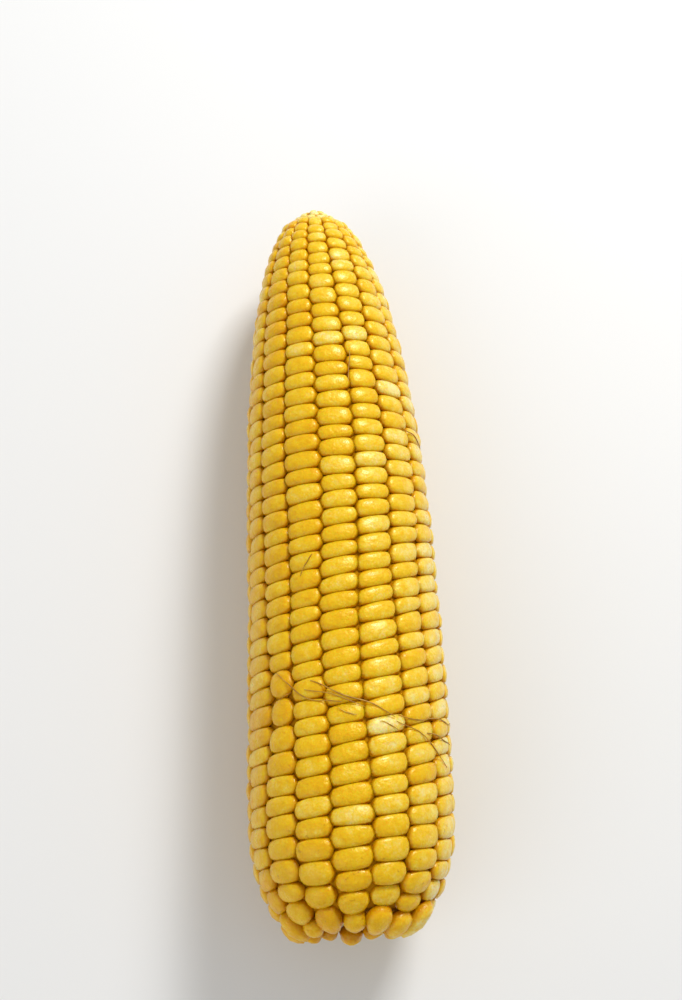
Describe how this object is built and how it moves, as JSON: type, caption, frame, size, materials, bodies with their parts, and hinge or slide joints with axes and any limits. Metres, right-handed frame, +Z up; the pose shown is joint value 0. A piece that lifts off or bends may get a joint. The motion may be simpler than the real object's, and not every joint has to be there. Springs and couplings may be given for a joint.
{
  "type": "corn cob",
  "caption": "Husked sweet-corn ear lying on its side: rows of golden kernels, a cut stalk scar at the butt and a small pale point at the tip.",
  "frame": {"origin": "on the floor, under the middle of the ear's bounding box", "axes": "+Y along the ear from its cut butt to its tip, +Z up, +X to the right seen from the butt"},
  "size_m": [0.0488, 0.181, 0.0484],
  "materials": {
    "kernels": "moist, glossy plant skin over soft golden kernels",
    "silk": "dry, brown-gold plant fibre"
  },
  "bodies": {
    "root": {"corn_ear": "kernels", "silk_strand_01": "silk", "silk_strand_02": "silk", "silk_strand_03": "silk", "silk_strand_04": "silk", "silk_strand_05": "silk", "silk_strand_06": "silk", "silk_strand_07": "silk", "silk_strand_08": "silk", "silk_strand_09": "silk", "silk_strand_10": "silk", "silk_strand_11": "silk", "silk_strand_12": "silk"}
  },
  "joints": []
}
